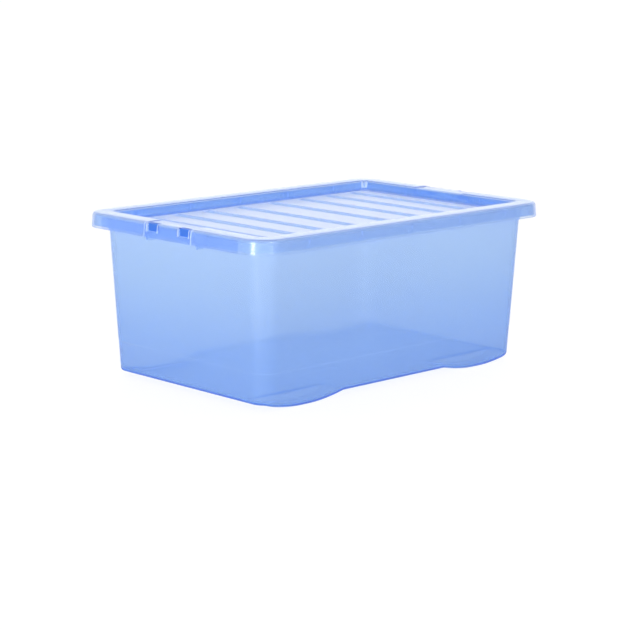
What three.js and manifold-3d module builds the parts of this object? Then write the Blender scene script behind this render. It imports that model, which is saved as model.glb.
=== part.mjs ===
// Under-bed storage box in translucent polypropylene: a tapered tub that stands on four feet, a lid with a
// ribbed tray, and a clip at each end of the lid that folds up on a living hinge.
// Millimetres, +Z up. X runs along the box, Y across it, and the feet stand on z = 0 round the origin.
import * as THREE from "three";
import { mergeVertices } from "three/addons/utils/BufferGeometryUtils.js";
import Module from "manifold-3d";

const wasm = await Module();
wasm.setup();

// Overall size, to the outside of the closed lid.
const LENGTH = 600;
const WIDTH = 400;
const HEIGHT = 250;
const HALF = { x: LENGTH / 2, y: WIDTH / 2 };

// Mouldings.
const WALL = 2.2;
const FLOOR = 2.5;
const SHEET = 2.4;
const CLEARANCE = 0.3;
const CORNER_CURVE = 5;

// Tub: its sides lean out from the base by DRAFT for each millimetre of height, its corners by less.
const BASE = { x: 265, y: 165.9, r: 24 };
const DRAFT = 0.056;
const CORNER_DRAFT = 0.035;
const EDGE_ROUND = 3;
const STEP_Z = 55;
const STEP_OUT = 0.8;
const FLANGE_TOP = HEIGHT - SHEET - CLEARANCE;
const LIP = { gap: 0.9, bottom: 231, thick: 2.2 };
const CLIP_SEAT = 2;

// Feet: shallow curved lobes at the corners, below the raised base.
const BASE_Z = 9;
const FOOT = { centre: 183, half: 75, inner: 122, slope: 12, facets: 9 };

// Lid.
const SKIRT_BOTTOM = 228;
const FLARE = 2;
const LID_CORNER = 41;
const RIM_WIDTH = 33;
const TRAY = { r: 9, lean: 2, ledge: 238, floor: 236.4, rimRound: 1.5 };
const LEDGE = { x: 245, y: 149, r: 6 };
const GROOVE = { at: [35, 100, 159, 214], half: 11, bottomHalf: 4.5, end: 147, depth: 4.2 };

// Clips: the part of the lid's rim that folds up, and the lugs of the tub that stand in its windows.
const CLIP = { x: 264.6, halfY: 50, drop: 0.8, gap: 0.8 };
const WINDOW = { near: 23, far: 46, depth: 11, bottom: 236.5 };
const LUG = { margin: 1, rise: 1.1, back: 0.8, front: 4.5 };

// Gussets under the tub's flange: a deep one at each end of each clip, and shallower ones elsewhere.
const GUSSET = { thick: 2, ends: [80], sides: [0, 103, 206], bottom: LIP.bottom + 1 };
const CLIP_GUSSET = { y: 55, bottom: 221.5 };
const GUSSET_TOP = FLANGE_TOP - SHEET / 2;
const SEAT_X = HALF.x - FLARE - SHEET - LIP.gap - CLIP_SEAT + 1;

// A rounded rectangle with its centre on the origin.
function roundedRectangle(x, y, r) {
  const shape = new THREE.Shape();
  shape.absarc(x - r, y - r, r, 0, Math.PI / 2);
  shape.absarc(r - x, y - r, r, Math.PI / 2, Math.PI);
  shape.absarc(r - x, r - y, r, Math.PI, 1.5 * Math.PI);
  shape.absarc(x - r, r - y, r, 1.5 * Math.PI, 2 * Math.PI);
  shape.closePath();
  return shape;
}

// A manifold solid from a closed three.js geometry.
function solid(geometry) {
  geometry.deleteAttribute("normal");
  geometry.deleteAttribute("uv");
  const merged = mergeVertices(geometry, 1e-4);
  return new wasm.Manifold(
    new wasm.Mesh({
      numProp: 3,
      vertProperties: merged.attributes.position.array,
      triVerts: new Uint32Array(merged.index.array),
    }),
  );
}

// A solid whose section is a rounded rectangle at every height. Each level gives z, the half sizes x and y,
// and the corner radius r.
function loft(levels) {
  const first = levels[0];
  const steps = levels.length - 1;
  const geometry = new THREE.ExtrudeGeometry(roundedRectangle(first.x, first.y, first.r), {
    depth: steps,
    steps,
    bevelEnabled: false,
    curveSegments: CORNER_CURVE,
  });
  const position = geometry.attributes.position;
  for (let i = 0; i < position.count; i++) {
    const level = levels[Math.round(position.getZ(i))];
    const place = (value, axis) => {
      const along = (Math.abs(value) - (first[axis] - first.r)) / first.r;
      return Math.sign(value) * (level[axis] - level.r + along * level.r);
    };
    position.setXYZ(i, place(position.getX(i), "x"), place(position.getY(i), "y"), level.z);
  }
  return solid(geometry);
}

// A level whose section is pulled in from the given half sizes and corner radius by a distance.
const inset = (size, by, z) => ({ z, x: size.x - by, y: size.y - by, r: size.r - by });

// A box between two corners.
function block([x0, y0, z0], [x1, y1, z1]) {
  const geometry = new THREE.BoxGeometry(x1 - x0, y1 - y0, z1 - z0);
  geometry.translate((x0 + x1) / 2, (y0 + y1) / 2, (z0 + z1) / 2);
  return solid(geometry);
}

// A shape drawn with x along the box and y up, extruded across the box's width.
function acrossWidth(shape, halfY) {
  const geometry = new THREE.ExtrudeGeometry(shape, {
    depth: 2 * halfY,
    bevelEnabled: false,
    curveSegments: 10,
  });
  geometry.translate(0, 0, -halfY);
  geometry.rotateX(Math.PI / 2);
  return solid(geometry);
}

// A shape drawn with x across the box and y up, extruded along the box's length.
function alongLength(shape, halfX) {
  const geometry = new THREE.ExtrudeGeometry(shape, { depth: 2 * halfX, bevelEnabled: false });
  geometry.translate(0, 0, -halfX);
  geometry.rotateX(Math.PI / 2);
  geometry.rotateZ(Math.PI / 2);
  return solid(geometry);
}

const mirrored = (part) => part.mirror([1, 0, 0]);
const onBothEnds = (part) => part.add(mirrored(part));
const joined = (parts) => parts.reduce((all, next) => all.add(next));

// The tub's outside half sizes at a height, pulled in by a thickness.
function tubLevel(z, thickness) {
  const step = (z > STEP_Z ? STEP_OUT : 0) - thickness;
  const out = DRAFT * z + step;
  return { z, x: BASE.x + out, y: BASE.y + out, r: BASE.r + CORNER_DRAFT * z + step };
}

// The tub's sides as a block, from the given height to the flange.
function tubBlock(bottom, thickness, top) {
  const levels = [bottom, STEP_Z - 0.5, STEP_Z + 0.5, top].map((z) => tubLevel(z, thickness));
  return loft(levels);
}

// The underside of the base along the box, as points from one end to the other. Between and beyond the
// feet it is level, and each foot is an arc whose middle facet lies flat on the floor.
function baseLine(lift) {
  const facetHalf = FOOT.half / FOOT.facets;
  const scale = BASE_Z / (FOOT.half ** 2 - facetHalf ** 2);
  const points = [];
  for (let i = 0; i <= FOOT.facets; i++) {
    const x = -FOOT.half + 2 * facetHalf * i;
    points.push(new THREE.Vector2(FOOT.centre + x, scale * (x ** 2 - facetHalf ** 2) + lift));
  }
  const otherFoot = points.map((p) => new THREE.Vector2(-p.x, p.y)).reverse();
  return [...otherFoot, ...points];
}

// Everything above the underside of the base. lift raises it by the floor's thickness for the inside.
function aboveBase(lift) {
  const reach = HALF.x + 50;
  const shape = new THREE.Shape([
    new THREE.Vector2(-reach, HEIGHT + 50),
    new THREE.Vector2(-reach, BASE_Z + lift),
    ...baseLine(lift),
    new THREE.Vector2(reach, BASE_Z + lift),
    new THREE.Vector2(reach, HEIGHT + 50),
  ]);
  return acrossWidth(shape, HALF.y).subtract(baseChannel(lift));
}

// The raised channel that runs along the middle of the base, between the feet.
function baseChannel(lift) {
  const top = BASE_Z + lift;
  const shape = new THREE.Shape();
  shape.moveTo(-FOOT.inner, top);
  shape.lineTo(-FOOT.inner - FOOT.slope, lift);
  shape.lineTo(-FOOT.inner - FOOT.slope, -5);
  shape.lineTo(FOOT.inner + FOOT.slope, -5);
  shape.lineTo(FOOT.inner + FOOT.slope, lift);
  shape.lineTo(FOOT.inner, top);
  shape.closePath();
  return alongLength(shape, HALF.x + 40);
}

// The outside of the lid's skirt at a height: it flares towards its lower edge.
function skirtLevel(z, thickness) {
  const by = (FLARE * (z - SKIRT_BOTTOM)) / (HEIGHT - SKIRT_BOTTOM) + thickness;
  return inset({ x: HALF.x, y: HALF.y, r: LID_CORNER }, by, z);
}

// The flange round the tub's mouth with its downturned lip, and the seats in it for the clips.
function tubFlange() {
  const reach = SHEET + LIP.gap;
  const ring = loft([
    skirtLevel(LIP.bottom, reach),
    skirtLevel(FLANGE_TOP - 1, reach),
    skirtLevel(FLANGE_TOP, reach + 1),
  ]);
  const hollow = loft([
    skirtLevel(LIP.bottom - 1, reach + LIP.thick),
    skirtLevel(FLANGE_TOP - SHEET, reach + LIP.thick),
  ]);
  const seatY = CLIP.halfY + CLIP.gap + 1;
  const seat = block([SEAT_X, -seatY, 0], [HALF.x, seatY, HEIGHT]);
  const backing = block(
    [SEAT_X - LIP.thick, -seatY - LIP.thick, LIP.bottom],
    [SEAT_X, seatY + LIP.thick, FLANGE_TOP - 1],
  );
  return ring.subtract(hollow).add(onBothEnds(backing)).subtract(onBothEnds(seat));
}

// One gusset that stands between the tub's wall and its lip, at a place along the lip.
function endGusset(y, bottom) {
  const wallX = tubLevel(bottom, WALL / 2).x;
  const lipX = SEAT_X - LIP.thick / 2;
  const half = GUSSET.thick / 2;
  return block([wallX, y - half, bottom], [lipX, y + half, GUSSET_TOP]);
}

function sideGusset(x) {
  const wallY = tubLevel(GUSSET.bottom, WALL / 2).y;
  const lipY = skirtLevel(FLANGE_TOP, SHEET + LIP.gap + LIP.thick).y + 0.5;
  const half = GUSSET.thick / 2;
  return block([x - half, wallY, GUSSET.bottom], [x + half, lipY, GUSSET_TOP]);
}

// The lugs on the flange that locate the clips, and the gussets under it.
function tubFittings() {
  const atEnd = [];
  for (const side of [-1, 1]) {
    const lugY = [side * (WINDOW.near + LUG.margin), side * (WINDOW.far - LUG.margin)];
    atEnd.push(
      block(
        [HALF.x - WINDOW.depth + LUG.back, Math.min(...lugY), WINDOW.bottom + LUG.margin],
        [HALF.x - LUG.front, Math.max(...lugY), FLANGE_TOP + LUG.rise],
      ),
      endGusset(side * CLIP_GUSSET.y, CLIP_GUSSET.bottom),
      ...GUSSET.ends.map((y) => endGusset(side * y, GUSSET.bottom)),
    );
  }
  const alongSide = joined(GUSSET.sides.map(sideGusset));
  const side = alongSide.add(mirrored(alongSide));
  return onBothEnds(joined(atEnd)).add(side).add(side.mirror([0, 1, 0]));
}

function makeTub() {
  const roundedBase = loft([
    inset(BASE, EDGE_ROUND, 0),
    inset(BASE, 0.3 * EDGE_ROUND, 0.3 * EDGE_ROUND),
    tubLevel(EDGE_ROUND, 0),
    tubLevel(STEP_Z - 0.5, 0),
  ]);
  const outside = roundedBase.add(tubBlock(EDGE_ROUND, 0, FLANGE_TOP - SHEET / 2));
  const inside = tubBlock(0, WALL, FLANGE_TOP + 5).intersect(aboveBase(FLOOR));
  return outside.add(tubFittings()).intersect(aboveBase(0)).add(tubFlange()).subtract(inside);
}

// A trough with sloping sides across the tray's floor, which leaves a rib on each side of it. grow makes it
// larger all round, for the underside.
function groove(x, grow) {
  const halfY = GROOVE.end + grow;
  const bottom = GROOVE.bottomHalf + grow;
  const top = GROOVE.half + grow;
  const low = TRAY.floor - GROOVE.depth - grow;
  const high = TRAY.floor + (grow ? -WALL : 0.4);
  return loft([
    { z: low, x: bottom, y: halfY - 4, r: bottom - 0.5 },
    { z: high, x: top, y: halfY, r: top - 0.5 },
  ]).translate([x, 0, 0]);
}

// The floor of the tray: a sheet with a raised ledge round it and grooves across it.
function trayFloor(plug) {
  const under = TRAY.floor - WALL;
  const slab = block([-HALF.x, -HALF.y, under], [HALF.x, HALF.y, TRAY.ledge]).intersect(plug);
  const recess = loft([
    { ...LEDGE, z: TRAY.floor },
    inset(LEDGE, -0.8, TRAY.ledge + 0.1),
  ]);
  const places = GROOVE.at.flatMap((x) => [-x, x]);
  return slab
    .add(joined(places.map((x) => groove(x, WALL))))
    .subtract(recess)
    .subtract(joined(places.map((x) => groove(x, 0))));
}

// The whole lid as it is moulded, before its ends are parted into clips.
function lidMoulding() {
  const tray = { x: HALF.x - RIM_WIDTH, y: HALF.y - RIM_WIDTH, r: TRAY.r };
  const shell = loft([
    skirtLevel(SKIRT_BOTTOM, 0),
    skirtLevel(HEIGHT - 3.5, 0),
    skirtLevel(HEIGHT - 1.7, 0.5),
    skirtLevel(HEIGHT - 0.5, 1.7),
    skirtLevel(HEIGHT, 3.5),
  ]).subtract(loft([skirtLevel(SKIRT_BOTTOM - 1, SHEET), skirtLevel(HEIGHT - SHEET, SHEET)]));
  const foot = TRAY.floor - WALL;
  const plug = loft([inset(tray, TRAY.lean - SHEET, foot), inset(tray, -SHEET, HEIGHT - 1)]);
  const hollow = loft([
    inset(tray, TRAY.lean, foot - 1),
    inset(tray, 0, HEIGHT - 1.5),
    inset(tray, -TRAY.rimRound, HEIGHT + 0.1),
  ]);
  return shell.add(plug).subtract(hollow).add(trayFloor(plug));
}

// The space that a clip takes up at the right-hand end, widened by the gap left round it.
function clipSpace(gap) {
  const halfY = CLIP.halfY + gap;
  return block([CLIP.x - gap, -halfY, SKIRT_BOTTOM - 5], [HALF.x + 5, halfY, HEIGHT + 5]);
}

function makeClip(moulding) {
  const lowered = block([0, -HALF.y, HEIGHT - CLIP.drop], [HALF.x + 5, HALF.y, HEIGHT + 5]);
  const windows = [-1, 1].map((side) => {
    const y = [side * WINDOW.near, side * WINDOW.far];
    return block(
      [HALF.x - WINDOW.depth, Math.min(...y), WINDOW.bottom],
      [HALF.x + 5, Math.max(...y), HEIGHT + 5],
    );
  });
  return moulding.intersect(clipSpace(0)).subtract(lowered).subtract(joined(windows));
}

// Colours and finish of the two mouldings.
const tubPlastic = new THREE.MeshStandardMaterial({ color: 0xa7c3f0, roughness: 0.35, metalness: 0 });
const lidPlastic = new THREE.MeshStandardMaterial({ color: 0x9dbaf2, roughness: 0.25, metalness: 0 });

function mesh(name, part, material) {
  const { vertProperties, triVerts } = part.getMesh();
  const geometry = new THREE.BufferGeometry();
  geometry.setAttribute("position", new THREE.BufferAttribute(vertProperties, 3));
  geometry.setIndex(new THREE.BufferAttribute(triVerts, 1));
  geometry.computeVertexNormals();
  const made = new THREE.Mesh(geometry, material);
  made.name = name;
  return made;
}

const moulding = lidMoulding();
const clip = makeClip(moulding);
const lid = moulding.subtract(clipSpace(CLIP.gap)).subtract(mirrored(clipSpace(CLIP.gap)));

const box = new THREE.Group();
box.add(
  mesh("tub", makeTub(), tubPlastic),
  mesh("lid", lid, lidPlastic),
  mesh("clip_right", clip, lidPlastic),
  mesh("clip_left", mirrored(clip), lidPlastic),
);

export default box;
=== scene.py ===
"""The looks of an under-bed storage box: a translucent blue tub, its ribbed lid and the two clips of the lid.

Lengths below are in millimetres, in the row frame: X along the box, Y across it, Z up from the floor.
"""

import math

import bmesh
import bpy
import numpy as np
from mathutils import Matrix, Vector


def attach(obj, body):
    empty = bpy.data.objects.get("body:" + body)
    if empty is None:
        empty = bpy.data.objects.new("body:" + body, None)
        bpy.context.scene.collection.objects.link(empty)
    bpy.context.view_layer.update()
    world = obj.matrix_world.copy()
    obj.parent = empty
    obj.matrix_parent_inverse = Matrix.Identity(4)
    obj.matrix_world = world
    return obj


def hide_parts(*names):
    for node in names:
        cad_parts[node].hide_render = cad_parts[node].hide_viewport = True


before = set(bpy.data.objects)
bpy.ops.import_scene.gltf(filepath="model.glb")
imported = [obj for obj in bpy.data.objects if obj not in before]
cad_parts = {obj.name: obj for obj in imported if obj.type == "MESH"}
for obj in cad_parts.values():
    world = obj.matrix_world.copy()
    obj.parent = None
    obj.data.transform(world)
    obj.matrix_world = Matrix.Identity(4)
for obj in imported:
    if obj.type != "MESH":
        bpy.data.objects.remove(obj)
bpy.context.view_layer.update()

MM = 0.001

# Overall size of the closed lid, and the thicknesses of the mouldings.
HALF_X, HALF_Y, HEIGHT = 300.0, 200.0, 250.0
WALL = 2.2
FLOOR = 2.5
SHEET = 2.4

# Tub: its sides lean out from the base, with a fine step round them.
BASE_X, BASE_Y, BASE_R = 265.5, 166.4, 24.5
DRAFT = 0.056
CORNER_DRAFT = 0.035
STEP_Z = 55.0
STEP_OUT = 0.3
STEP_HALF = 0.8
STEP_REACH = STEP_HALF + 0.5
STEP_BLEND = 0.2
BOTTOM_ROUND = 3.2
INNER_ROUND = 4.5
MOUTH_ROUND = 1.0
FLANGE_TOP = 247.3

# Feet: an arc along the box at each corner, with a raised channel between those of the two sides.
BASE_Z = 9.0
FOOT_CENTRE = 183.0
FOOT_HALF = 75.0
CHANNEL_HALF = 122.0
CHANNEL_SLOPE = 12.0
FOOT_BLEND = 0.8
FOOT_EDGE = 0.04
CHANNEL_EDGE = 0.15

# The tub's lip under the lid's skirt.
LIP_GAP = 0.9
LIP_THICK = 2.2
LIP_BOTTOM = 231.0
LIP_ROUND = 0.7
FLANGE_ROUND = 1.4
SEAT_HALF_Y = 52.5
SEAT_DEPTH = 2.0

# Lid.
SKIRT_BOTTOM = 228.0
FLARE = 2.0
LID_CORNER = 41.0
SKIRT_ROUND = 4.5
EDGE_ROUND = 0.7
TRAY_X, TRAY_Y, TRAY_R = 267.0, 167.0, 9.0
TRAY_LEAN = 0.13
RECESS_ROUND = 2.8
LEDGE_X, LEDGE_Y, LEDGE_R = 245.0, 149.0, 6.0
LEDGE_EDGE = 0.9
LEDGE_Z = 238.0
TRAY_Z = 236.4
FILLET = 1.3

# Grooves across the tray, which leave the ribs between them.
GROOVES = (35.0, 100.0, 159.0, 214.0)
GROOVE_HALF = 11.0
GROOVE_BOTTOM = 4.5
GROOVE_END = 147.0
GROOVE_DEPTH = 4.2
GROOVE_BLEND = 0.1

# Clips.
CLIP_X = 264.6
CLIP_HALF_Y = 50.0
CLIP_GAP = 0.8
CLIP_DROP = 0.8
WINDOW_Y = (23.0, 46.0)
WINDOW_DEPTH = 11.0
WINDOW_BOTTOM = 236.5
WINDOW_ROUND = 0.6

# How far the blocks that cut the clips out reach past the lid.
PAST = 5.0

# Gussets under the flange, and the lugs that stand in the clips' windows.
GUSSET_THICK = 2.0
END_GUSSETS = ((55.0, 221.5), (80.0, 232.0))
SIDE_GUSSETS = (0.0, 103.0, 206.0)
SIDE_GUSSET_BOTTOM = 232.0
GUSSET_TOP = FLANGE_TOP - SHEET / 2
GUSSET_ROUND = 0.3
LUG_BACK = 0.8
LUG_FRONT = 4.5
LUG_MARGIN = 1.0
LUG_RISE = 1.1
LUG_ROUND = 0.5

# The number of steps in a quarter turn of an outline's corner.
CORNER_STEPS = 14


def soft_clamp(t, blend):
    """t held between 0 and 1, with the two corners rounded over plus or minus blend."""
    low = np.where(np.abs(t) < blend, (t + blend) ** 2 / (4 * blend), np.maximum(t, 0))
    u = 1 - low
    return 1 - np.where(np.abs(u) < blend, (u + blend) ** 2 / (4 * blend), np.maximum(u, 0))


def soft_max(a, b, blend):
    """The larger of a and b, with the crease between them filled."""
    gap = np.maximum(blend - np.abs(a - b), 0) / blend
    return np.maximum(a, b) + gap**2 * blend / 4


def spaced(stops, pitch):
    """Positions that pass through each stop, with even steps of about the pitch between them."""
    out = [stops[0]]
    for a, b in zip(stops, stops[1:]):
        count = max(1, round((b - a) / pitch))
        out += [a + (b - a) * i / count for i in range(1, count + 1)]
    return np.array(out)


def both_ways(values):
    """Sorted positions with their mirror images."""
    values = np.abs(np.asarray(values, float))
    return np.unique(np.round(np.concatenate([-values, values]), 6))


class Outline:
    """The points round a rounded rectangle, the same number of them whatever its size.

    along and across are the points on the long and short sides, as shares of each side's half length.
    """

    def __init__(self, along, across, arc_steps):
        turn = np.linspace(0, math.pi / 2, arc_steps + 1)[1:-1]
        one, none = np.ones_like, np.zeros_like
        up, left = np.asarray(across), np.asarray(along)[::-1]
        parts = [(one(up), one(up), up, none(up)), self._corner(turn, 1, 1)]
        parts += [(left, none(left), one(left), one(left)), self._corner(turn + math.pi / 2, -1, 1)]
        parts += [(-one(up), -one(up), up[::-1], none(up)), self._corner(turn + math.pi, -1, -1)]
        right = left[::-1]
        parts += [(right, none(left), -one(left), -one(left)), self._corner(turn + 1.5 * math.pi, 1, -1)]
        self.run_x, self.arc_x, self.run_y, self.arc_y = (np.concatenate(p) for p in zip(*parts))
        self.across = up
        self.columns = len(left) + 2 * arc_steps
        self.count = len(self.run_x)

    @staticmethod
    def _corner(angle, side_x, side_y):
        full = np.ones_like(angle)
        return side_x * full, np.cos(angle), side_y * full, np.sin(angle)

    def ring(self, size, z):
        """The points at a size (half x, half y, corner radius) and height. Each may hold one value a point."""
        x, y, r = size
        px = self.run_x * (x - r) + self.arc_x * r
        py = self.run_y * (y - r) + self.arc_y * r
        return np.column_stack([px, py, np.broadcast_to(z, px.shape)])

    def cap(self, ring, first, inner_first, height):
        """Fills a ring whose points are numbered from first: the new points, numbered from inner_first,
        their heights given by a function of x and y, and the faces."""
        rows, columns = len(self.across), self.columns
        number = np.zeros((columns, rows), int)
        number[0] = np.arange(rows)
        number[1:, -1] = rows + np.arange(columns - 1)
        number[-1] = rows + columns - 2 + np.arange(rows)[::-1]
        number[1:-1, 0] = (2 * rows + columns - 2 + np.arange(columns - 2))[::-1]
        top = ring[number[1:-1, -1]]
        x = np.repeat(top[:, :1], rows - 2, axis=1)
        y = top[:, 1:2] * self.across[None, 1:-1]
        new = np.column_stack([x.ravel(), y.ravel(), height(x, y).ravel()])
        number += first
        number[1:-1, 1:-1] = inner_first + np.arange(len(new)).reshape(columns - 2, rows - 2)
        corners = (number[:-1, :-1], number[1:, :-1], number[1:, 1:], number[:-1, 1:])
        return new, np.stack([c.ravel() for c in corners], axis=1)


def shell(outline, rings, heights):
    """A closed mesh through a chain of rings, with the first and the last one filled to the two heights."""
    count = outline.count
    points = [np.concatenate(rings)]
    i = np.arange(count)
    after = (i + 1) % count
    faces = []
    for k in range(len(rings) - 1):
        low, high = k * count, (k + 1) * count
        faces.append(np.stack([low + i, low + after, high + after, high + i], axis=1))
    total = len(points[0])
    for first, ring, height in ((0, rings[0], heights[0]), (total - count, rings[-1], heights[1])):
        new, cells = outline.cap(ring, first, total, height)
        total += len(new)
        points.append(new)
        faces.append(cells)
    return np.concatenate(points), np.concatenate(faces)


def new_object(name, points, faces):
    """An object of a closed mesh given in millimetres, with its faces pointing out."""
    mesh = bpy.data.meshes.new(name)
    mesh.from_pydata((np.asarray(points) * MM).tolist(), [], np.asarray(faces).tolist())
    made = bmesh.new()
    made.from_mesh(mesh)
    bmesh.ops.remove_doubles(made, verts=made.verts, dist=1e-7)
    bmesh.ops.recalc_face_normals(made, faces=made.faces)
    if made.calc_volume(signed=True) < 0:
        bmesh.ops.reverse_faces(made, faces=made.faces)
    made.to_mesh(mesh)
    made.free()
    obj = bpy.data.objects.new(name, mesh)
    bpy.context.scene.collection.objects.link(obj)
    return obj


def block(low, high, rounding=0.0):
    """A box between two corners, with rounded edges, for joining or cutting."""
    corners = [(x, y, z) for x in (low[0], high[0]) for y in (low[1], high[1]) for z in (low[2], high[2])]
    faces = [(0, 1, 3, 2), (4, 6, 7, 5), (0, 4, 5, 1), (2, 3, 7, 6), (0, 2, 6, 4), (1, 5, 7, 3)]
    obj = new_object("tool", corners, faces)
    if rounding:
        made = bmesh.new()
        made.from_mesh(obj.data)
        bmesh.ops.bevel(
            made, geom=list(made.edges), offset=rounding * MM, segments=3, profile=0.5, affect="EDGES"
        )
        made.to_mesh(obj.data)
        made.free()
    return obj


def combine(obj, tools, operation):
    """Joins the tools to obj, cuts them out of it or keeps what they share, and removes them."""
    for tool in tools:
        step = obj.modifiers.new("step", "BOOLEAN")
        step.solver = "MANIFOLD"
        step.operation = operation
        step.object = tool
    baked = bpy.data.meshes.new_from_object(obj.evaluated_get(bpy.context.evaluated_depsgraph_get()))
    obj.modifiers.clear()
    old, obj.data = obj.data, baked
    bpy.data.meshes.remove(old)
    for tool in tools:
        bpy.data.objects.remove(tool)
    return obj


def shade(obj, sharp_degrees=32):
    """Smooth faces that stay crisp where they meet at more than the given angle."""
    mesh = obj.data
    mesh.shade_smooth()
    mesh.set_sharp_from_angle(angle=math.radians(sharp_degrees))


def base_height(x, y):
    """The underside of the tub's base: low arcs at the corners and a raised channel between them."""
    share = (np.abs(x) - FOOT_CENTRE) / FOOT_HALF
    foot = BASE_Z * (1 - soft_clamp(1 - share**2, FOOT_EDGE))
    rise = (CHANNEL_HALF + CHANNEL_SLOPE - np.abs(y)) / CHANNEL_SLOPE
    channel = BASE_Z * soft_clamp(rise, CHANNEL_EDGE)
    return np.minimum(soft_max(foot, channel, FOOT_BLEND), BASE_Z)


def tub_size(z, inset):
    """The tub's outside at a height, pulled in by inset, as (half x, half y, corner radius)."""
    step = STEP_OUT * soft_clamp((z - STEP_Z + STEP_HALF) / (2 * STEP_HALF), STEP_BLEND) - inset
    out = DRAFT * z + step
    return BASE_X + out, BASE_Y + out, BASE_R + CORNER_DRAFT * z + step


def skirt_size(z, inset):
    """The outside of the lid's skirt at a height, pulled in by inset."""
    by = FLARE * (z - SKIRT_BOTTOM) / (HEIGHT - SKIRT_BOTTOM) + inset
    return HALF_X - by, HALF_Y - by, LID_CORNER - by


def grown(size, by):
    """A size moved outwards all round."""
    return tuple(value + by for value in size)


def turn(steps):
    """Pairs (sine, cosine) over a quarter turn, ends included."""
    return [(math.sin(a), math.cos(a)) for a in np.linspace(0, math.pi / 2, steps + 1)]


def step_levels():
    """Heights that follow the fine step in the tub's sides."""
    within = np.linspace(STEP_Z - STEP_HALF, STEP_Z + STEP_HALF, 5)
    return [STEP_Z - STEP_REACH, *within, STEP_Z + STEP_REACH]


def tub_outline():
    """The tub's points: closest where the feet, the channel and the clips' seats change shape."""
    lip_half_x, lip_half_y = HALF_X - LID_CORNER, HALF_Y - LID_CORNER
    along = both_ways(spaced([0, FOOT_CENTRE - FOOT_HALF, BASE_X - BASE_R], 5)) / (BASE_X - BASE_R)
    base_half = BASE_Y - BASE_R
    slope = spaced([0, CHANNEL_HALF - 2, CHANNEL_HALF + CHANNEL_SLOPE + 2, base_half], 4) / base_half
    seat = np.array([SEAT_HALF_Y + d for d in (-1.8, -1.2, -0.6, 0, 0.6, 1.2, 1.8)]) / lip_half_y
    clear = [s for s in slope if min(abs(s - seat)) > 0.006]
    return Outline(along, both_ways([*clear, *seat]), CORNER_STEPS)


def seated(ring):
    """Pulls the lip in behind each clip."""
    share = soft_clamp((SEAT_HALF_Y + 1.2 - np.abs(ring[:, 1])) / 2.4, 0.3)
    ring = ring.copy()
    ring[:, 0] -= np.sign(ring[:, 0]) * SEAT_DEPTH * share * (np.abs(ring[:, 0]) > HALF_X - 20)
    return ring


def tub_outside(outline):
    """Rings from the edge of the base's underside up to the flange."""
    place = outline.ring(tub_size(BASE_Z, 0), 0)
    foot = base_height(place[:, 0], place[:, 1])
    rings = []
    for sine, cosine in turn(5):
        z = foot + BOTTOM_ROUND * (1 - cosine)
        rings.append(outline.ring(tub_size(z, BOTTOM_ROUND * (1 - sine)), z))
    under = FLANGE_TOP - SHEET
    levels = [20, 38, *step_levels(), 80, 120, 160, 200, under - FLANGE_ROUND]
    rings += [outline.ring(tub_size(z, 0), z) for z in levels]
    for sine, cosine in turn(3)[1:]:
        z = under - FLANGE_ROUND * (1 - sine)
        rings.append(outline.ring(tub_size(z, -FLANGE_ROUND * (1 - cosine)), z))
    return rings


def tub_lip(outline):
    """Rings out under the flange, round its downturned lip and back over its top."""
    outer = SHEET + LIP_GAP
    inner = outer + LIP_THICK
    under = FLANGE_TOP - SHEET
    rings = []
    for sine, cosine in turn(3):
        z = under - FLANGE_ROUND * (1 - cosine)
        rings.append(outline.ring(skirt_size(z, inner + FLANGE_ROUND * (1 - sine)), z))
    for sine, cosine in turn(3):
        z = LIP_BOTTOM + LIP_ROUND * (1 - sine)
        rings.append(outline.ring(skirt_size(z, inner - LIP_ROUND * (1 - cosine)), z))
    for sine, cosine in turn(3):
        z = LIP_BOTTOM + LIP_ROUND * (1 - cosine)
        rings.append(outline.ring(skirt_size(z, outer + LIP_ROUND * (1 - sine)), z))
    for sine, cosine in turn(4):
        z = FLANGE_TOP - FLANGE_ROUND * (1 - sine)
        rings.append(outline.ring(skirt_size(z, outer + FLANGE_ROUND * (1 - cosine)), z))
    return [seated(ring) for ring in rings]


def tub_inside(outline):
    """Rings from the mouth down to the edge of the inner floor."""
    rings = []
    for sine, cosine in turn(3):
        z = FLANGE_TOP - MOUTH_ROUND * (1 - cosine)
        rings.append(outline.ring(tub_size(z, WALL - MOUTH_ROUND * (1 - sine)), z))
    levels = [200, 160, 120, 80, *step_levels()[::-1], 38, 24]
    rings += [outline.ring(tub_size(z, WALL), z) for z in levels]
    place = outline.ring(tub_size(BASE_Z, WALL), 0)
    foot = base_height(place[:, 0], place[:, 1]) + FLOOR
    for sine, cosine in turn(5):
        z = foot + INNER_ROUND * (1 - sine)
        rings.append(outline.ring(tub_size(z, WALL + INNER_ROUND * (1 - cosine)), z))
    return rings


def inner_floor(x, y):
    return base_height(x, y) + FLOOR


def gussets():
    """The plates between the tub's wall and its lip."""
    made = []
    seat_x = HALF_X - FLARE - SHEET - LIP_GAP - SEAT_DEPTH
    half = GUSSET_THICK / 2
    for y, bottom in END_GUSSETS:
        inner = tub_size(bottom, WALL / 2)[0]
        outer = seat_x if y > SEAT_HALF_Y + 10 else seat_x - LIP_THICK / 2
        for side_x in (-1, 1):
            for side_y in (-1, 1):
                low = (min(side_x * inner, side_x * outer), side_y * y - half, bottom)
                high = (max(side_x * inner, side_x * outer), side_y * y + half, GUSSET_TOP)
                made.append(block(low, high, GUSSET_ROUND))
    inner = tub_size(SIDE_GUSSET_BOTTOM, WALL / 2)[1]
    outer = HALF_Y - FLARE - SHEET - LIP_GAP - LIP_THICK / 2
    for x in both_ways(SIDE_GUSSETS):
        for side in (-1, 1):
            low = (x - half, min(side * inner, side * outer), SIDE_GUSSET_BOTTOM)
            high = (x + half, max(side * inner, side * outer), GUSSET_TOP)
            made.append(block(low, high, GUSSET_ROUND))
    return made


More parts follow.
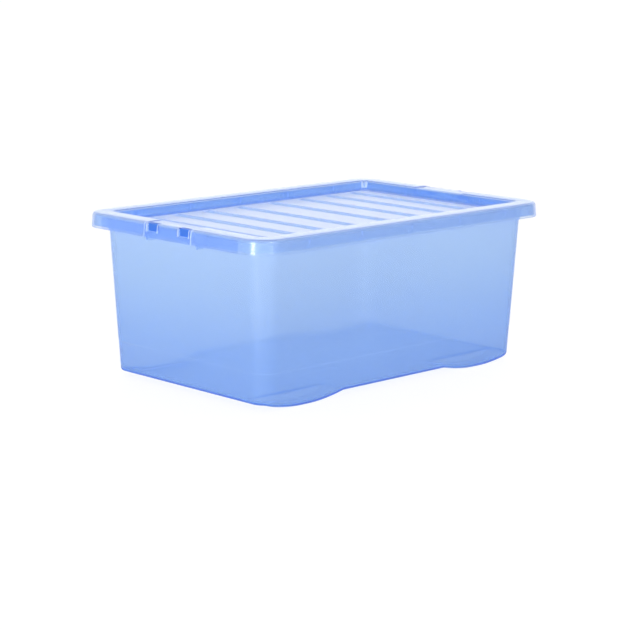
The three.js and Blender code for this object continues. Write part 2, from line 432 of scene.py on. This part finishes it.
def lugs():
    """The blocks on the flange that stand in the clips' windows."""
    inner = HALF_X - WINDOW_DEPTH + LUG_BACK
    outer = HALF_X - LUG_FRONT
    bottom, top = WINDOW_BOTTOM + LUG_MARGIN, FLANGE_TOP + LUG_RISE
    made = []
    for side_x in (-1, 1):
        for side_y in (-1, 1):
            x = sorted((side_x * inner, side_x * outer))
            y = sorted(side_y * (w + d) for w, d in zip(WINDOW_Y, (LUG_MARGIN, -LUG_MARGIN)))
            made.append(block((x[0], y[0], bottom), (x[1], y[1], top), LUG_ROUND))
    return made


def make_tub():
    """The tub with its gussets and lugs."""
    outline = tub_outline()
    rings = [*tub_outside(outline), *tub_lip(outline), *tub_inside(outline)]
    points, faces = shell(outline, rings, (base_height, inner_floor))
    tub = new_object("tub_body", points, faces)
    return combine(tub, [*gussets(), *lugs()], "UNION")


def groove_depth(x, y):
    """How deep the tray's grooves are below its ribs at a place."""
    along = np.maximum(np.abs(y) - (GROOVE_END - GROOVE_HALF), 0)
    across = np.min([np.abs(np.abs(x) - g) for g in GROOVES], axis=0)
    away = np.hypot(along, across)
    return GROOVE_DEPTH * soft_clamp((GROOVE_HALF - away) / (GROOVE_HALF - GROOVE_BOTTOM), GROOVE_BLEND)


def tray_top(x, y):
    return TRAY_Z - groove_depth(x, y)


def tray_under(x, y):
    return tray_top(x, y) - WALL


def lid_outline():
    """The lid's points: closest across each groove, at the ends of the grooves and at the ends of a clip."""
    run = LEDGE_X - LEDGE_R
    marks = (0.0, 2.2, 3.8, 4.5, 5.2, 6.5, 7.75, 9.0, 10.3, 11.0, 11.7)
    near = np.array([g + side * m for g in GROOVES for m in marks for side in (-1, 1)])
    between = [x for x in spaced([0, run], 4) if min(abs(near - x)) > 1.5]
    along = both_ways([*near, *between, run]) / run
    side = LEDGE_Y - LEDGE_R
    clip = spaced([CLIP_HALF_Y - 4, CLIP_HALF_Y + 4], 2)
    across = spaced([0, CLIP_HALF_Y - 4], 6).tolist() + clip.tolist()
    across += spaced([CLIP_HALF_Y + 4, GROOVE_END - GROOVE_HALF - 2, side], 6).tolist()
    across += spaced([GROOVE_END - GROOVE_HALF - 2, side], 1.1).tolist()
    kept = both_ways(across)
    kept = kept[np.concatenate([[True], np.diff(kept) > 0.5])]
    kept[-1] = side
    return Outline(along, both_ways(kept / side), CORNER_STEPS)


def recess(z):
    """The inside of the wall that goes down from the rim to the tray."""
    return grown((TRAY_X, TRAY_Y, TRAY_R), -TRAY_LEAN * (HEIGHT - RECESS_ROUND - z))


def lid_top(outline):
    """Rings from the edge of the tray's floor up to the rim and down to the skirt's lower edge."""
    ledge = (LEDGE_X, LEDGE_Y, LEDGE_R)
    edge = outline.ring(grown(ledge, -LEDGE_EDGE), 0)
    rings = [np.column_stack([edge[:, :2], tray_top(edge[:, 0], edge[:, 1])])]
    rings.append(outline.ring(grown(ledge, -0.6), TRAY_Z + 0.2))
    for by, down in ((-0.25, 0.5), (0.1, 0.1), (0.5, 0)):
        rings.append(outline.ring(grown(ledge, by), LEDGE_Z - down))
    for sine, cosine in turn(4):
        z = LEDGE_Z + FILLET * (1 - cosine)
        rings.append(outline.ring(grown(recess(z), -FILLET * (1 - sine)), z))
    rings.append(outline.ring(recess(HEIGHT - RECESS_ROUND), HEIGHT - RECESS_ROUND))
    for sine, cosine in turn(4)[1:]:
        z = HEIGHT - RECESS_ROUND * (1 - sine)
        rings.append(outline.ring(grown(recess(HEIGHT - RECESS_ROUND), RECESS_ROUND * (1 - cosine)), z))
    for sine, cosine in turn(7):
        z = HEIGHT - SKIRT_ROUND * (1 - cosine)
        rings.append(outline.ring(skirt_size(z, SKIRT_ROUND * (1 - sine)), z))
    for z in (HEIGHT - SKIRT_ROUND - 0.7, SKIRT_BOTTOM + EDGE_ROUND + 0.5):
        rings.append(outline.ring(skirt_size(z, 0), z))
    for sine, cosine in turn(3):
        z = SKIRT_BOTTOM + EDGE_ROUND * (1 - sine)
        rings.append(outline.ring(skirt_size(z, EDGE_ROUND * (1 - cosine)), z))
    return rings


def lid_under(outline):
    """Rings from the skirt's lower edge up inside it, under the rim and down to the tray's underside."""
    rings = []
    for sine, cosine in turn(3):
        z = SKIRT_BOTTOM + EDGE_ROUND * (1 - cosine)
        rings.append(outline.ring(skirt_size(z, SHEET - EDGE_ROUND * (1 - sine)), z))
    under = HEIGHT - SHEET
    for sine, cosine in turn(4):
        z = under - FILLET * (1 - sine)
        rings.append(outline.ring(skirt_size(z, SHEET + FILLET * (1 - cosine)), z))
    for sine, cosine in turn(3):
        z = under - FILLET * (1 - cosine)
        rings.append(outline.ring(grown(recess(z), WALL + FILLET * (1 - sine)), z))
    below = LEDGE_Z - WALL
    for sine, cosine in turn(4):
        z = below + FILLET * (1 - sine)
        rings.append(outline.ring(grown(recess(z), WALL - FILLET * (1 - cosine)), z))
    ledge = (LEDGE_X, LEDGE_Y, LEDGE_R)
    rings.append(outline.ring(grown(ledge, LEDGE_EDGE), below))
    edge = outline.ring(grown(ledge, -LEDGE_EDGE), 0)
    rings.append(np.column_stack([edge[:, :2], tray_under(edge[:, 0], edge[:, 1])]))
    return rings


def lid_moulding(name):
    outline = lid_outline()
    points, faces = shell(outline, [*lid_top(outline), *lid_under(outline)], (tray_top, tray_under))
    return new_object(name, points, faces)


def clip_space(side, gap):
    """The room of a clip in the lid, grown by a gap all round."""
    x = sorted((side * (CLIP_X - gap), side * (HALF_X + PAST)))
    half = CLIP_HALF_Y + gap
    return block((x[0], -half, SKIRT_BOTTOM - PAST), (x[1], half, HEIGHT + PAST))


def make_lid():
    """The lid without its two clips."""
    rooms = [clip_space(side, CLIP_GAP) for side in (-1, 1)]
    return combine(lid_moulding("lid_panel"), rooms, "DIFFERENCE")


def make_clip(name, side):
    """The part of the lid that folds up at one end, lower than the rim and with its two windows."""
    clip = combine(lid_moulding(name), [clip_space(side, 0)], "INTERSECT")
    cuts = []
    top = HEIGHT + PAST
    x = sorted((side * (HALF_X - WINDOW_DEPTH), side * (HALF_X + PAST)))
    for side_y in (-1, 1):
        y = sorted(side_y * w for w in WINDOW_Y)
        cuts.append(block((x[0], y[0], WINDOW_BOTTOM), (x[1], y[1], top), WINDOW_ROUND))
    x = sorted((0, side * (HALF_X + PAST)))
    cuts.append(block((x[0], -HALF_Y, HEIGHT - CLIP_DROP), (x[1], HALF_Y, top)))
    return combine(clip, cuts, "DIFFERENCE")


# ---------------------------------------------------------------- materials

REFRACTION = 1.49

# Unevenness of the plastic: how many waves and grains a metre holds, how deep the waves are in metres, and
# how much of the roughness varies.
WAVES = 9.0
GRAINS = 700.0
WAVE_STRENGTH = 0.25
WAVE_DEPTH = 0.0002
UNEVEN = 0.04

# The colour sockets of a colour mix.
MIX_FIRST, MIX_SECOND, MIXED = 6, 7, 2

# The share of red, green and blue that each face lets through.
CROSSING = (0.99, 0.982, 0.945)

# Colours that the plastic scatters, at heights in millimetres. The tub's are painted shade, darker and bluer
# towards the floor and paler up by the rim.
TUB_MILK_AND_SHADE = (
    (0, (0.16, 0.33, 0.66)),
    (70, (0.24, 0.41, 0.70)),
    (160, (0.42, 0.55, 0.72)),
    (240, (0.54, 0.64, 0.76)),
)
LID_MILK = ((0, (0.40, 0.54, 0.73)), (HEIGHT, (0.40, 0.54, 0.73)))

# Painted light and shade: boxes given by the lowest and the highest |x|, |y| and z in millimetres, the painted
# scattered colour and the added share of scattered light.
# They are painted deeper as shade where several thicknesses lie behind each other or little light falls, and
# pale as highlights where edges catch the light.
# Painted highlight colour, for edges and corners that catch the light.
PAINTED_HIGHLIGHT = (0.88, 0.93, 0.98)
TUB_PAINTED_LIGHT = (
    # The lugs, painted deeper as shade in the clips' windows, and a faint painted highlight line along the fine
    # step.
    ((289.6, 23.9, 237.4), (295.7, 45.1, 248.6), (0.09, 0.28, 0.70), 0.45),
    ((0, 0, 54.4), (HALF_X, HALF_Y, 55.6), (0.40, 0.55, 0.77), 0.01),
)
LID_PAINTED_LIGHT = (
    # Painted light on the tray: painted shade on its long walls with their ledge, a pale painted reflection on
    # the tops of its ribs, and painted shade in its grooves and on its short walls.
    ((0, 150.4, 237.2), (259.0, 168.0, 247.4), (0.13, 0.36, 0.90), 0.19),
    ((0, 0, 236.15), (LEDGE_X, LEDGE_Y, 236.9), (0.94, 0.95, 0.97), 0.38),
    ((0, 0, 231.9), (LEDGE_X, LEDGE_Y, 235.4), (0.26, 0.49, 0.86), 0.07),
    ((256.0, 0, 237.2), (268.0, 159.0, 247.4), (0.10, 0.31, 0.78), 0.26),
    # Pale stripes where the tray's corners catch the light.
    ((263.8, 159.2, 238.8), (268.0, 162.6, 248.4), PAINTED_HIGHLIGHT, 0.5),
    ((259.2, 163.8, 238.8), (262.6, 168.0, 248.4), PAINTED_HIGHLIGHT, 0.5),
    # The skirt of a clip, and the lid's skirt beside it, painted deeper as shade.
    ((296.0, 0, 227.0), (301.0, 50.2, 246.5), (0.19, 0.36, 0.74), 0.16),
    ((296.0, 52.2, 227.0), (301.0, 150.0, 246.5), (0.22, 0.38, 0.74), 0.09),
    # Painted highlights: pale lines where the cut edges beside the clips and at their windows catch the light.
    ((290.0, 50.6, 227.0), (301.0, 52.2, 250.1), PAINTED_HIGHLIGHT, 0.35),
    ((296.5, 21.8, 236.0), (301.0, 23.1, 250.1), PAINTED_HIGHLIGHT, 0.35),
    ((296.5, 45.9, 236.0), (301.0, 47.2, 250.1), PAINTED_HIGHLIGHT, 0.35),
)


def node(tree, kind, **values):
    """A node of a kind. A name of one of its inputs sets or links that input, and any other name a setting."""
    made = tree.nodes.new(kind)
    for key, value in values.items():
        if key in made.inputs:
            set_input(tree, made.inputs[key], value)
        else:
            setattr(made, key, value)
    return made


def set_input(tree, socket, value):
    """Links a socket to an input, or sets the input to a value."""
    if isinstance(value, bpy.types.NodeSocket):
        tree.links.new(value, socket)
    elif isinstance(value, tuple) and socket.type == "RGBA" and len(value) == 3:
        socket.default_value = (*value, 1)
    else:
        socket.default_value = value


def maths(tree, operation, a, b=0.0, clamp=False):
    """The result of an operation on two values or sockets."""
    made = tree.nodes.new("ShaderNodeMath")
    made.operation = operation
    made.use_clamp = clamp
    set_input(tree, made.inputs[0], a)
    set_input(tree, made.inputs[1], b)
    return made.outputs[0]


def height_colour(tree, z, stops):
    """A colour that changes with height, through the given stops."""
    top = stops[-1][0]
    ramp = tree.nodes.new("ShaderNodeValToRGB")
    tree.links.new(maths(tree, "DIVIDE", z, top * MM, clamp=True), ramp.inputs[0])
    elements = ramp.color_ramp.elements
    while len(elements) < len(stops):
        elements.new(0.5)
    for element, (height, colour) in zip(elements, stops):
        element.position = height / top
        element.color = (*colour, 1)
    return ramp.outputs["Color"]


def inside_box(tree, place, low, high):
    """1 where a place, given by its three values, is between two corners in millimetres, and 0 elsewhere."""
    share = 1.0
    for value, start, end in zip(place, low, high):
        near = tree.nodes.new("ShaderNodeMath")
        near.operation = "COMPARE"
        tree.links.new(value, near.inputs[0])
        near.inputs[1].default_value = (start + end) / 2 * MM
        near.inputs[2].default_value = (end - start) / 2 * MM
        share = maths(tree, "MULTIPLY", near.outputs[0], share)
    return share


def uneven_face(tree, place, roughness):
    """The bump of the plastic's slow waves, and its roughness, which varies with the waves and a fine grain."""
    flow = node(tree, "ShaderNodeTexNoise", Vector=place, Scale=WAVES, Detail=2.0).outputs["Fac"]
    fine = node(tree, "ShaderNodeTexNoise", Vector=place, Scale=GRAINS, Detail=2.0).outputs["Fac"]
    bump = node(tree, "ShaderNodeBump", Strength=WAVE_STRENGTH, Distance=WAVE_DEPTH, Height=flow)
    uneven = maths(tree, "MULTIPLY", maths(tree, "ADD", flow, fine), UNEVEN)
    return bump.outputs["Normal"], maths(tree, "ADD", uneven, roughness - UNEVEN)


def clear_plastic(tree, bump, rough, blur):
    """Bends and slightly blurs the light that goes through, and mirrors the rest."""
    bent = node(tree, "ShaderNodeBsdfRefraction", Color=CROSSING, Roughness=blur, IOR=REFRACTION, Normal=bump)
    gloss = node(tree, "ShaderNodeBsdfGlossy", Color=(1, 1, 1), Roughness=rough, Normal=bump)
    mirrored = node(tree, "ShaderNodeFresnel", IOR=REFRACTION, Normal=bump)
    return mix(tree, mirrored.outputs[0], bent.outputs[0], gloss.outputs[0])


def scattering(tree, place, milk_and_shade, milk_share, painted_boxes):
    """The colour that is scattered at each place, and its share, with the painted light and shade of the boxes
    laid in.
    """
    folded = node(tree, "ShaderNodeVectorMath", operation="ABSOLUTE", Vector=place)
    apart = node(tree, "ShaderNodeSeparateXYZ", Vector=folded.outputs[0])
    colour = height_colour(tree, apart.outputs["Z"], milk_and_shade)
    share = milk_share
    for low, high, painted_colour, painted_share in painted_boxes:
        inside = inside_box(tree, apart.outputs, low, high)
        blend = node(tree, "ShaderNodeMix", data_type="RGBA", Factor=inside)
        set_input(tree, blend.inputs[MIX_FIRST], colour)
        set_input(tree, blend.inputs[MIX_SECOND], painted_colour)
        colour = blend.outputs[MIXED]
        share = maths(tree, "ADD", maths(tree, "MULTIPLY", inside, painted_share), share)
    return colour, share


def polypropylene(name, absorbed, milk_and_shade, milk_share, painted_boxes, roughness, blur):
    """Translucent plastic. Light goes through it bent, slightly blurred and tinted by how far it travels
    inside: absorbed is what a metre takes of red, green and blue. Each face mirrors with the given roughness
    and scatters a share. Lamps shine through it straight."""
    material = bpy.data.materials.new(name)
    material.use_nodes = True
    tree = material.node_tree
    tree.nodes.clear()
    place = node(tree, "ShaderNodeTexCoord").outputs["Object"]
    bump, rough = uneven_face(tree, place, roughness)
    colour, share = scattering(tree, place, milk_and_shade, milk_share, painted_boxes)
    front = node(tree, "ShaderNodeBsdfDiffuse", Color=colour, Normal=bump)
    back = node(tree, "ShaderNodeBsdfTranslucent", Color=colour, Normal=bump)
    milky = mix(tree, 0.5, front.outputs[0], back.outputs[0])
    body = mix(tree, share, clear_plastic(tree, bump, rough, blur), milky)
    through = tuple(math.exp(-a * WALL * MM / 2) for a in absorbed)
    lamp = node(tree, "ShaderNodeBsdfTransparent", Color=through)
    shadow = node(tree, "ShaderNodeLightPath").outputs["Is Shadow Ray"]
    density = max(absorbed)
    kept = tuple(1 - a / density for a in absorbed)
    volume = node(tree, "ShaderNodeVolumeAbsorption", Color=kept, Density=density)
    output = node(tree, "ShaderNodeOutputMaterial", Volume=volume.outputs[0])
    tree.links.new(mix(tree, shadow, body, lamp.outputs[0]), output.inputs["Surface"])
    return material


def mix(tree, share, first, second):
    """Two shaders mixed, with the given share of the second."""
    made = tree.nodes.new("ShaderNodeMixShader")
    set_input(tree, made.inputs[0], share)
    tree.links.new(first, made.inputs[1])
    tree.links.new(second, made.inputs[2])
    return made.outputs[0]


# ---------------------------------------------------------------- assembly

# The tub's scattered colour is painted darker towards the floor as shade; both plastics carry painted shade and
# highlights in their boxes.
tub_plastic = polypropylene("tub_plastic", (105.0, 54.0, 2.0), TUB_MILK_AND_SHADE, 0.27, TUB_PAINTED_LIGHT, 0.42, 0.12)
lid_plastic = polypropylene("lid_plastic", (50.0, 32.0, 2.0), LID_MILK, 0.18, LID_PAINTED_LIGHT, 0.19, 0.04)

made = [
    (make_tub(), "tub", tub_plastic, "tub_plastic"),
    (make_lid(), "lid", lid_plastic, "lid_plastic"),
    (make_clip("clip_left_flap", -1), "clip_left", lid_plastic, "lid_plastic"),
    (make_clip("clip_right_flap", 1), "clip_right", lid_plastic, "lid_plastic"),
]
for obj, body, material, slot in made:
    obj.data.materials.clear()
    obj.data.materials.append(material)
    shade(obj)
    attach(obj, body)
    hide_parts(body)

# ---------------------------------------------------------------- studio

# Lengths here are in metres.
SURROUNDINGS = 0.82
BACKDROP_EXTRA = 0.72
BACKDROP_TOWARDS = (0.64, 0.64, 0.42)
BACKDROP_FADE = 3.0
FLOOR_HALF = 60
FLOOR_SHADE = (0.12, 0.12, 0.12, 1)
FLOOR_GLOW = 0.88
FLOOR_ROUGHNESS = 0.9
FLOOR_SHINE = 0.1
WHITE = (1, 1, 1, 1)

# Softboxes: the name, the azimuth in degrees from +X, the distance, the size, the height and the power.
SOFTBOXES = (
    ("strip_left", 190, 2.8, (0.62, 0.9), 0.5, 25),
    ("strip_right", 256, 2.6, (0.4, 1.0), 1.45, 16),
    ("front_card", 222, 3.6, (4.0, 2.0), 1.0, 18),
)
AIM = (0, 0, 0.15)

CAMERA_AT = (-2.0875, -2.1577, 0.678)
CAMERA_TOWARDS = (0.6809, 0.7060, -0.1951)
CAMERA_ROLL = 0.33
SENSOR = 36
LENS = 113.9
CLIP_END = 200

TRANSPARENT_BOUNCES = 40
BOUNCES = 32
GLOSSY_BOUNCES = 16


def make_floor():
    """A pale floor, wide enough to fill the picture."""
    made = bmesh.new()
    bmesh.ops.create_grid(made, x_segments=8, y_segments=8, size=FLOOR_HALF)
    mesh = bpy.data.meshes.new("floor")
    made.to_mesh(mesh)
    made.free()
    floor = bpy.data.objects.new("floor", mesh)
    bpy.context.scene.collection.objects.link(floor)
    material = bpy.data.materials.new("floor_paper")
    material.use_nodes = True
    surface = material.node_tree.nodes["Principled BSDF"]
    surface.inputs["Base Color"].default_value = FLOOR_SHADE
    surface.inputs["Emission Color"].default_value = WHITE
    surface.inputs["Emission Strength"].default_value = FLOOR_GLOW
    surface.inputs["Roughness"].default_value = FLOOR_ROUGHNESS
    surface.inputs["Specular IOR Level"].default_value = FLOOR_SHINE
    mesh.materials.append(material)


def make_light(name, place, target, size, power):
    """A rectangular lamp that faces a target."""
    data = bpy.data.lights.new(name, "AREA")
    data.shape = "RECTANGLE"
    data.size, data.size_y = size
    data.energy = power
    light = bpy.data.objects.new(name, data)
    light.location = place
    light.rotation_mode = "QUATERNION"
    light.rotation_quaternion = (Vector(target) - Vector(place)).to_track_quat("-Z", "Y")
    bpy.context.scene.collection.objects.link(light)


def make_softbox(name, azimuth, distance, size, height, power):
    """A softbox that faces the box."""
    angle = math.radians(azimuth)
    place = (distance * math.cos(angle), distance * math.sin(angle), height)
    make_light(name, place, AIM, size, power)


def make_world():
    """White surroundings, brighter low down behind the box."""
    world = bpy.data.worlds.new("studio")
    world.use_nodes = True
    tree = world.node_tree
    direction = node(tree, "ShaderNodeTexCoord").outputs["Generated"]
    towards = node(tree, "ShaderNodeVectorMath", operation="DOT_PRODUCT")
    tree.links.new(direction, towards.inputs[0])
    towards.inputs[1].default_value = BACKDROP_TOWARDS
    share = maths(tree, "POWER", maths(tree, "MAXIMUM", towards.outputs["Value"], 0.0), BACKDROP_FADE)
    strength = maths(tree, "ADD", maths(tree, "MULTIPLY", share, BACKDROP_EXTRA), SURROUNDINGS)
    set_input(tree, tree.nodes["Background"].inputs["Strength"], strength)
    tree.nodes["Background"].inputs["Color"].default_value = WHITE
    bpy.context.scene.world = world


def make_camera():
    """The camera, at the angle from which the box is shown."""
    forward = Vector(CAMERA_TOWARDS).normalized()
    right = forward.cross(Vector((0, 0, 1))).normalized()
    up = right.cross(forward)
    roll = math.radians(CAMERA_ROLL)
    across = right * math.cos(roll) + up * math.sin(roll)
    upward = up * math.cos(roll) - right * math.sin(roll)
    data = bpy.data.cameras.new("camera")
    data.sensor_width = SENSOR
    data.lens = LENS
    data.clip_end = CLIP_END
    camera = bpy.data.objects.new("camera", data)
    turned = Matrix((across, upward, -forward)).transposed().to_4x4()
    camera.matrix_world = Matrix.Translation(CAMERA_AT) @ turned
    bpy.context.scene.collection.objects.link(camera)
    bpy.context.scene.camera = camera


make_floor()
make_world()
for softbox in SOFTBOXES:
    make_softbox(*softbox)
make_camera()

scene = bpy.context.scene
scene.view_settings.view_transform = "Standard"
scene.cycles.transparent_max_bounces = TRANSPARENT_BOUNCES
scene.cycles.max_bounces = BOUNCES
scene.cycles.transmission_bounces = BOUNCES
scene.cycles.glossy_bounces = GLOSSY_BOUNCES
